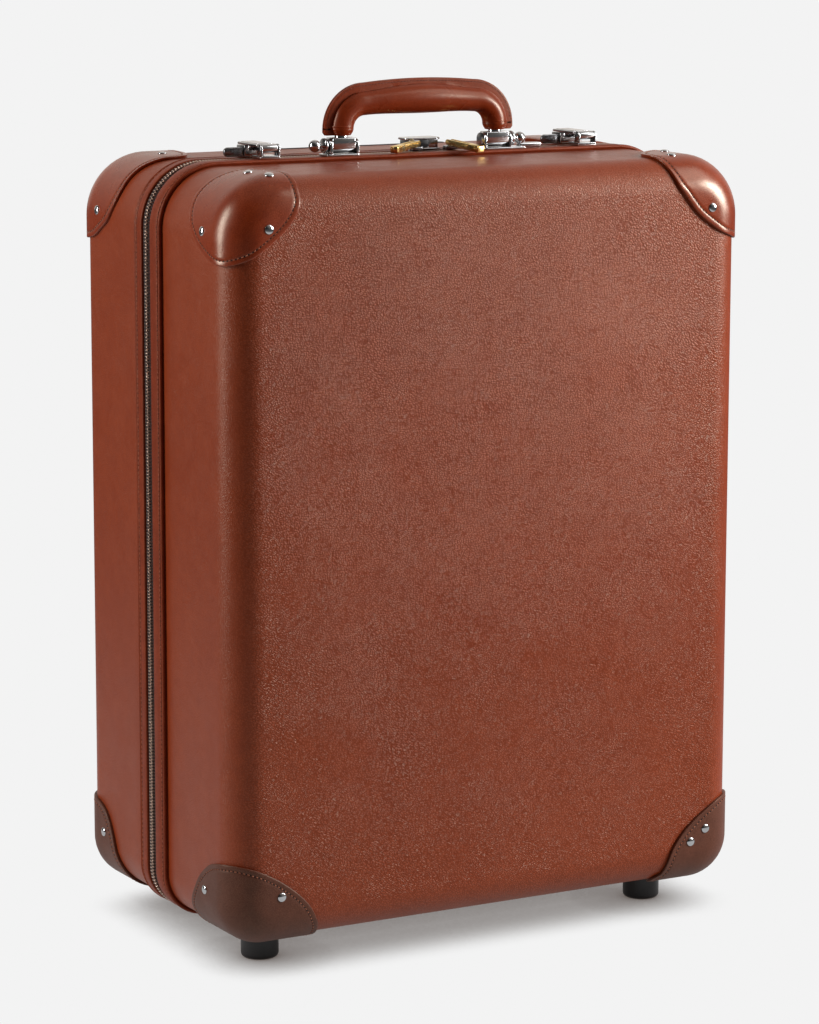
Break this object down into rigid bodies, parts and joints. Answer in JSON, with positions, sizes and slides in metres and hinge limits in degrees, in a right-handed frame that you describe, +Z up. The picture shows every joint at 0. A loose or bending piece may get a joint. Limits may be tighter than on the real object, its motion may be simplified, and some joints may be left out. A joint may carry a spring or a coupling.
{
  "type": "carry-on suitcase",
  "caption": "Upright hard-sided leather suitcase with riveted corner caps, zip with lock, swing hasps, folding carry handle, telescoping tow handle, wheels and feet.",
  "frame": {"origin": "on the floor, under the middle of the case's width and depth", "axes": "+X to the right of a viewer who faces the front, +Y to the back, +Z up"},
  "size_m": [0.4174, 0.2498, 0.6062],
  "materials": {
    "leather": "smooth calf leather, semi-gloss, with fine grain",
    "cap_leather": "heavier smooth leather with a dark cut edge",
    "handle_leather": "polished rolled leather",
    "board": "pressed fibreboard, hidden between skin and lining",
    "lining": "woven twill",
    "zip_tape": "dark woven tape",
    "zip_brass": "polished, a little worn",
    "hinge_brass": "satin",
    "strap": "soft strap leather",
    "chrome": "bright nickel plating",
    "aluminium": "satin drawn tube",
    "black_plastic": "fine moulded texture",
    "foot_rubber": "matt, slightly glossy on the rim",
    "tyre": "matt cast tyre"
  },
  "bodies": {
    "root": {"back_board": "board", "back_leather": "leather", "back_lining": "lining", "back_welt": "leather", "back_zip_tape": "zip_tape", "back_zip_teeth": "zip_brass", "back_cap_top_left": "cap_leather", "back_cap_top_right": "cap_leather", "back_cap_bottom_left": "cap_leather", "back_cap_bottom_right": "cap_leather", "back_cap_rivets": "chrome", "wheel_housing_left": "black_plastic", "wheel_housing_right": "black_plastic", "wheel_axles": "chrome", "latch_lock_left": "chrome", "latch_lock_right": "chrome", "zip_lock_case": "chrome", "tow_bezel": "black_plastic", "tow_outer_tubes": "aluminium", "tow_cover": "lining", "packing_strap": "strap", "strap_buckle": "hinge_brass", "hinge_leaf_back": "hinge_brass", "hinge_pin": "chrome"},
    "lid": {"lid_board": "board", "lid_leather": "leather", "lid_lining": "lining", "lid_welt": "leather", "lid_zip_tape": "zip_tape", "lid_zip_teeth": "zip_brass", "lid_cap_top_left": "cap_leather", "lid_cap_top_right": "cap_leather", "lid_cap_bottom_left": "cap_leather", "lid_cap_bottom_right": "cap_leather", "lid_cap_rivets": "chrome", "lid_foot_left": "foot_rubber", "lid_foot_right": "foot_rubber", "handle_bracket_left": "chrome", "handle_bracket_right": "chrome", "hasp_bases": "chrome", "hinge_leaf_front": "hinge_brass"},
    "carry_handle": {"handle_ends": "chrome", "handle_grip": "handle_leather"},
    "wheel_left": {"wheel_tyre_left": "tyre", "wheel_hub_left": "black_plastic"},
    "hasp_left": {"hasp_left": "chrome"},
    "latch_slide_left": {"latch_slide_left": "chrome"},
    "slider_left": {"zip_slider_left": "zip_brass"},
    "pull_left": {"zip_pull_left": "zip_brass"},
    "wheel_right": {"wheel_tyre_right": "tyre", "wheel_hub_right": "black_plastic"},
    "hasp_right": {"hasp_right": "chrome"},
    "latch_slide_right": {"latch_slide_right": "chrome"},
    "slider_right": {"zip_slider_right": "zip_brass"},
    "pull_right": {"zip_pull_right": "zip_brass"},
    "lock_button": {"zip_lock_button": "black_plastic"},
    "tow_middle": {"tow_middle_tubes": "chrome"},
    "tow_inner": {"tow_inner_tubes": "chrome", "tow_grip": "black_plastic"},
    "tow_button": {"tow_button": "black_plastic"}
  },
  "joints": [
    {"name": "lid_hinge", "type": "hinge", "parent": "root", "child": "lid", "pos_m": [0, 0.004, 0.0192], "axis": [1, 0, 0], "range_deg": [0, 110]},
    {"name": "handle_fold", "type": "hinge", "parent": "lid", "child": "carry_handle", "pos_m": [0, -0.01035, 0.5605], "axis": [1, 0, 0], "range_deg": [-30, 80]},
    {"name": "wheel_spin_left", "type": "hinge", "parent": "root", "child": "wheel_left", "pos_m": [-0.126, 0.094, 0.023], "axis": [1, 0, 0], "continuous": true},
    {"name": "hasp_swing_left", "type": "hinge", "parent": "lid", "child": "hasp_left", "pos_m": [-0.1215, -0.0145, 0.5607], "axis": [1, 0, 0], "range_deg": [0, 110]},
    {"name": "latch_release_left", "type": "slide", "parent": "root", "child": "latch_slide_left", "axis": [-1, 0, 0], "range_m": [0, 0.005], "stiffness_N_per_m": 400},
    {"name": "wheel_spin_right", "type": "hinge", "parent": "root", "child": "wheel_right", "pos_m": [0.126, 0.094, 0.023], "axis": [1, 0, 0], "continuous": true},
    {"name": "hasp_swing_right", "type": "hinge", "parent": "lid", "child": "hasp_right", "pos_m": [0.1365, -0.0145, 0.5607], "axis": [1, 0, 0], "range_deg": [0, 110]},
    {"name": "latch_release_right", "type": "slide", "parent": "root", "child": "latch_slide_right", "axis": [-1, 0, 0], "range_m": [0, 0.005], "stiffness_N_per_m": 400},
    {"name": "lock_press", "type": "slide", "parent": "root", "child": "lock_button", "axis": [0, 1, 0], "range_m": [0, 0.0015], "stiffness_N_per_m": 700},
    {"name": "zip_run_left", "type": "slide", "parent": "root", "child": "slider_left", "axis": [-1, 0, 0], "range_m": [0, 0.025]},
    {"name": "zip_run_right", "type": "slide", "parent": "root", "child": "slider_right", "axis": [1, 0, 0], "range_m": [0, 0.008]},
    {"name": "pull_lift_left", "type": "hinge", "parent": "slider_left", "child": "pull_left", "pos_m": [0.006, 0.004, 0.5582], "axis": [-0.5736, 0.8192, 0], "range_deg": [0, 34]},
    {"name": "pull_lift_right", "type": "hinge", "parent": "slider_right", "child": "pull_right", "pos_m": [0.034, 0.004, 0.5582], "axis": [-0.9903, -0.1392, 0], "range_deg": [0, 46]},
    {"name": "tow_middle_slide", "type": "slide", "parent": "root", "child": "tow_middle", "axis": [0, 0, 1], "range_m": [0, 0.23]},
    {"name": "tow_inner_slide", "type": "slide", "parent": "tow_middle", "child": "tow_inner", "axis": [0, 0, 1], "range_m": [0, 0.24]},
    {"name": "tow_button_press", "type": "slide", "parent": "tow_inner", "child": "tow_button", "axis": [0, 0, -1], "range_m": [0, 0.003], "stiffness_N_per_m": 1200}
  ]
}
